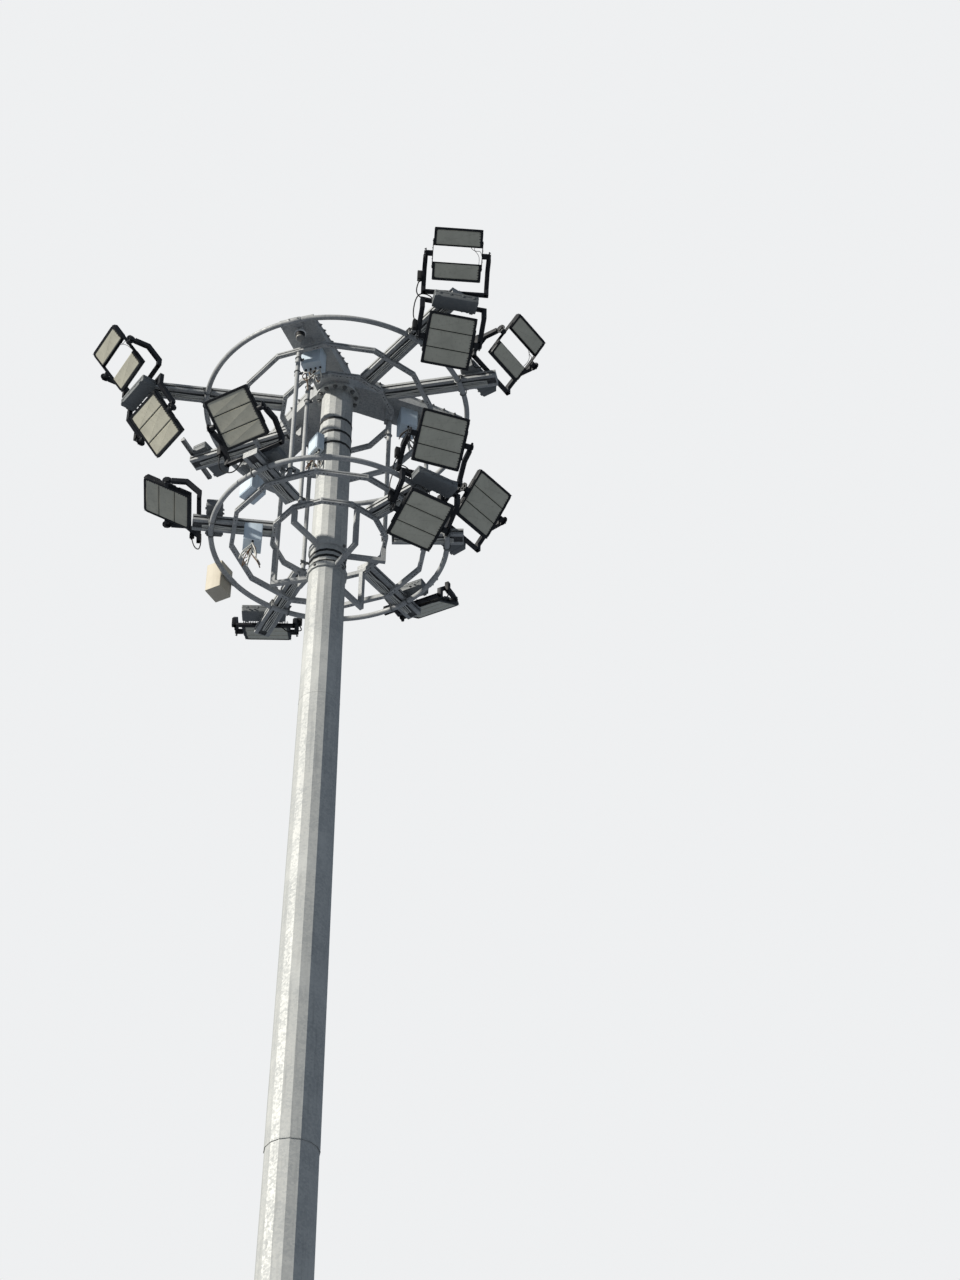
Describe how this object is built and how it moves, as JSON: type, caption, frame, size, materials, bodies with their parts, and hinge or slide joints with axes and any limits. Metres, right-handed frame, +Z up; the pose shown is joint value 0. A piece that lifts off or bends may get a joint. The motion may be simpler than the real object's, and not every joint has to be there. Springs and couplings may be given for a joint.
{
  "type": "high mast floodlight tower",
  "caption": "Tall tapered steel mast on a bolted base flange, with a two-tier ring headframe whose outrigger arms carry tilting floodlights.",
  "frame": {"origin": "centre of the base flange's underside, at ground level", "axes": "+Z up the mast; -Y faces the base door; +X to the right of someone who faces the door"},
  "size_m": [5.1228, 4.9357, 25.7526],
  "materials": {
    "galvanised_mast": "hot-dip galvanised, weathered, satin",
    "galvanised_frame": "hot-dip galvanised, weathered, satin",
    "dark_bracket": "dark grey powder coat, matt",
    "lamp_housing": "dark grey powder coat, satin",
    "lamp_cover": "cream diffusing cover, satin",
    "driver_box": "grey painted die cast, satin",
    "junction_box": "pale grey enamel, satin",
    "dome_shell": "white moulded plastic"
  },
  "bodies": {
    "tower": {"base_door": "galvanised_mast", "base_flange": "galvanised_mast", "cable_trays": "galvanised_frame", "collar_bands": "galvanised_mast", "collar_struts": "galvanised_frame", "dome_camera": "dome_shell", "door_frame": "galvanised_mast", "driver_boxes": "driver_box", "head_frame": "galvanised_frame", "junction_boxes": "junction_box", "lamp_brackets": "dark_bracket", "lower_arm_e": "galvanised_frame", "lower_arm_f": "galvanised_frame", "lower_arm_g": "galvanised_frame", "lower_arm_h": "galvanised_frame", "lower_arm_i": "galvanised_frame", "lower_arm_j": "galvanised_frame", "lower_inner_ring": "galvanised_frame", "lower_mid_ring": "galvanised_frame", "lower_outer_ring": "galvanised_frame", "mast_bottom_section": "galvanised_mast", "mast_middle_section": "galvanised_mast", "mast_top_flange": "galvanised_mast", "mast_top_section": "galvanised_mast", "ring_hangers": "galvanised_frame", "tier_posts": "galvanised_frame", "upper_arm_a": "galvanised_frame", "upper_arm_b": "galvanised_frame", "upper_arm_c": "galvanised_frame", "upper_arm_d": "galvanised_frame", "upper_inner_ring": "galvanised_frame", "upper_mid_ring": "galvanised_frame", "upper_outer_ring": "galvanised_frame"},
    "floodlight_1": {"floodlight_1": "lamp_housing"},
    "floodlight_2": {"floodlight_2": "lamp_housing"},
    "floodlight_3": {"floodlight_3": "lamp_housing"},
    "floodlight_4": {"floodlight_4": "lamp_housing"},
    "floodlight_5": {"floodlight_5": "lamp_housing"},
    "floodlight_6": {"floodlight_6": "lamp_housing"},
    "floodlight_7": {"floodlight_7": "lamp_housing"},
    "floodlight_8": {"floodlight_8": "lamp_housing"},
    "floodlight_9": {"floodlight_9": "lamp_housing"},
    "floodlight_10": {"floodlight_10": "lamp_housing"},
    "floodlight_11": {"floodlight_11": "lamp_housing"},
    "floodlight_12": {"floodlight_12": "lamp_housing"}
  },
  "joints": [
    {"name": "floodlight_1_tilt", "type": "hinge", "parent": "tower", "child": "floodlight_1", "pos_m": [1.01474, -2.32822, 25.5102], "axis": [0.9959, -0.0906, 0], "range_deg": [-20, 20]},
    {"name": "floodlight_2_tilt", "type": "hinge", "parent": "tower", "child": "floodlight_2", "pos_m": [1.03526, -1.70957, 24.7852], "axis": [0.9978, 0.0663, 0], "range_deg": [-20, 20]},
    {"name": "floodlight_3_tilt", "type": "hinge", "parent": "tower", "child": "floodlight_3", "pos_m": [1.9206, -1.07524, 25.5102], "axis": [0.6909, 0.723, 0], "range_deg": [-20, 20]},
    {"name": "floodlight_4_tilt", "type": "hinge", "parent": "tower", "child": "floodlight_4", "pos_m": [-2.5576, -0.08394, 25.5102], "axis": [0.3551, -0.9348, 0], "range_deg": [-20, 20]},
    {"name": "floodlight_5_tilt", "type": "hinge", "parent": "tower", "child": "floodlight_5", "pos_m": [-2.03601, 0.17047, 24.7852], "axis": [0.4352, -0.9003, 0], "range_deg": [-20, 20]},
    {"name": "floodlight_6_tilt", "type": "hinge", "parent": "tower", "child": "floodlight_6", "pos_m": [-1.19947, -1.3607, 23.5102], "axis": [0.7638, -0.6455, 0], "range_deg": [-20, 20]},
    {"name": "floodlight_7_tilt", "type": "hinge", "parent": "tower", "child": "floodlight_7", "pos_m": [1.01188, -1.431, 23.5102], "axis": [0.9854, 0.1702, 0], "range_deg": [-20, 20]},
    {"name": "floodlight_8_tilt", "type": "hinge", "parent": "tower", "child": "floodlight_8", "pos_m": [0.88818, -0.90922, 22.7852], "axis": [0.9219, 0.3875, 0], "range_deg": [-20, 20]},
    {"name": "floodlight_9_tilt", "type": "hinge", "parent": "tower", "child": "floodlight_9", "pos_m": [1.63823, -0.5244, 23.5102], "axis": [0.757, 0.6534, 0], "range_deg": [-20, 20]},
    {"name": "floodlight_10_tilt", "type": "hinge", "parent": "tower", "child": "floodlight_10", "pos_m": [-1.81342, 0.08889, 23.5102], "axis": [-0.0906, -0.9959, 0], "range_deg": [-20, 20]},
    {"name": "floodlight_11_tilt", "type": "hinge", "parent": "tower", "child": "floodlight_11", "pos_m": [-0.47267, 2.0475, 23.5102], "axis": [-0.9871, 0.1599, 0], "range_deg": [-20, 20]},
    {"name": "floodlight_12_tilt", "type": "hinge", "parent": "tower", "child": "floodlight_12", "pos_m": [1.31527, 1.29423, 23.5102], "axis": [-0.7965, 0.6046, 0], "range_deg": [-20, 20]}
  ]
}
